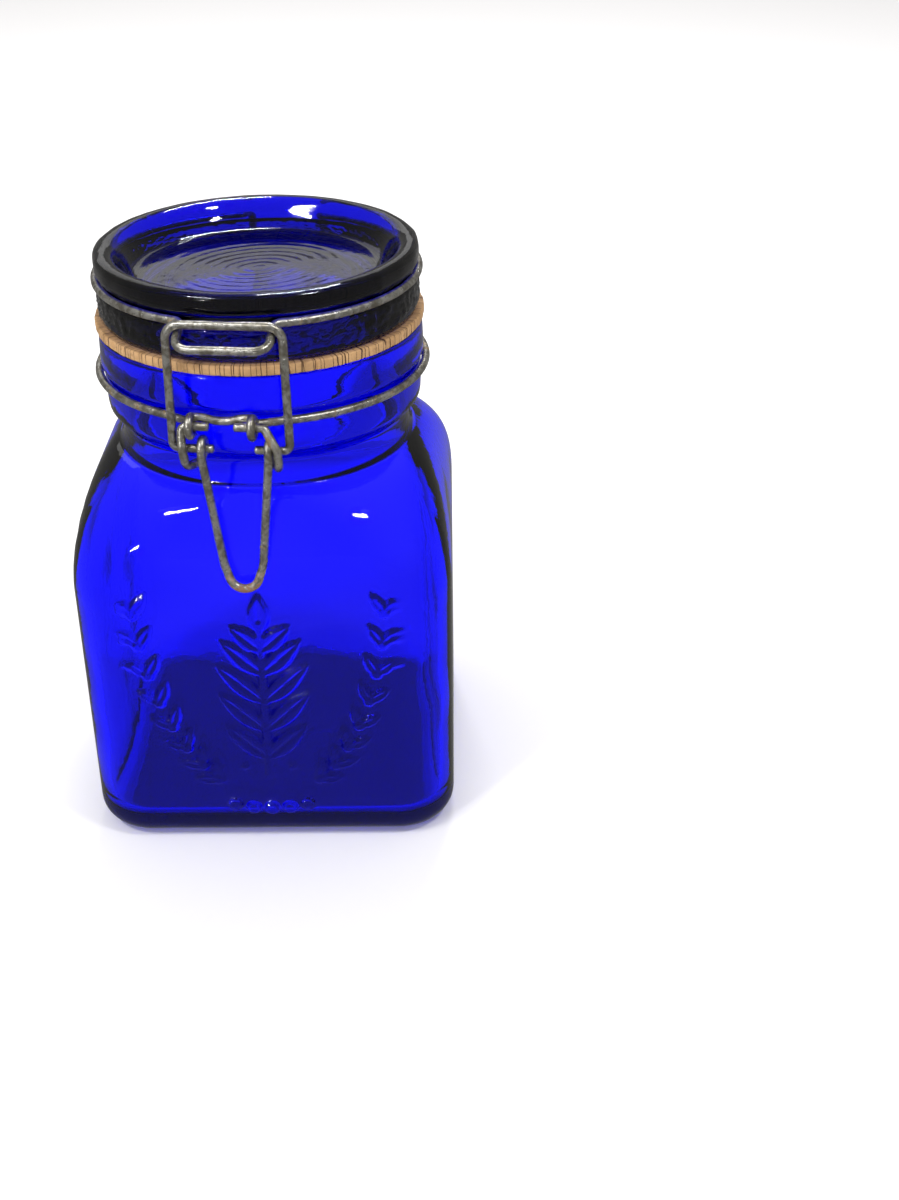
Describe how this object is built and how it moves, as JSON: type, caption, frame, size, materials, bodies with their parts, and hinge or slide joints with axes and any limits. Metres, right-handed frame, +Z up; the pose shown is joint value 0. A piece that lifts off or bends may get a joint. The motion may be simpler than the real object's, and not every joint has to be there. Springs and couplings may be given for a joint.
{
  "type": "bail clamp jar",
  "caption": "Square glass storage jar with a hinged glass lid, a rubber gasket and an over-centre wire bail clamp that pulls the lid down.",
  "frame": {"origin": "middle of the flat base, on the surface that the jar stands on", "axes": "+Z up along the jar's axis, -Y towards the face with the clamp, +X to the right seen from the clamp side"},
  "size_m": [0.112, 0.117, 0.174],
  "materials": {
    "jar_glass": "deep cobalt blue pressed glass, glossy, slightly wavy",
    "lid_glass": "deep cobalt blue pressed glass, glossy, with faint ripple rings",
    "gasket_rubber": "aged tan rubber, dry, with fine cracks across its edge",
    "neck_wire_zinc": "galvanised wire, dulled and pitted, with brown stains",
    "lid_wire_zinc": "galvanised wire, dulled and pitted, with brown stains",
    "lever_zinc": "galvanised wire, dull grey, rubbed and slightly rusty at the tip",
    "bail_zinc": "galvanised wire, dulled and pitted, with brown stains"
  },
  "bodies": {
    "jar": {"jar_body": "jar_glass", "neck_wire": "neck_wire_zinc"},
    "lid": {"lid": "lid_glass", "gasket": "gasket_rubber", "lid_wire": "lid_wire_zinc"},
    "lever": {"lever": "lever_zinc"},
    "bail": {"bail": "bail_zinc"}
  },
  "joints": [
    {"name": "lid_hinge", "type": "hinge", "parent": "jar", "child": "lid", "pos_m": [0.00453, 0.0518, 0.1382], "axis": [-0.9962, 0.0872, 0], "range_deg": [0, 180]},
    {"name": "lever_pivot", "type": "hinge", "parent": "jar", "child": "lever", "pos_m": [-0.00453, -0.0518, 0.1382], "axis": [-0.9962, 0.0872, 0], "range_deg": [0, 110]},
    {"name": "bail_pivot", "type": "hinge", "parent": "lever", "child": "bail", "pos_m": [-0.00447, -0.0511, 0.1312], "axis": [0.9962, -0.0872, 0], "range_deg": [0, 154]}
  ],
  "couplings": [
    {"joint": "bail_pivot", "follows": "lever_pivot", "ratio": 1.4}
  ]
}
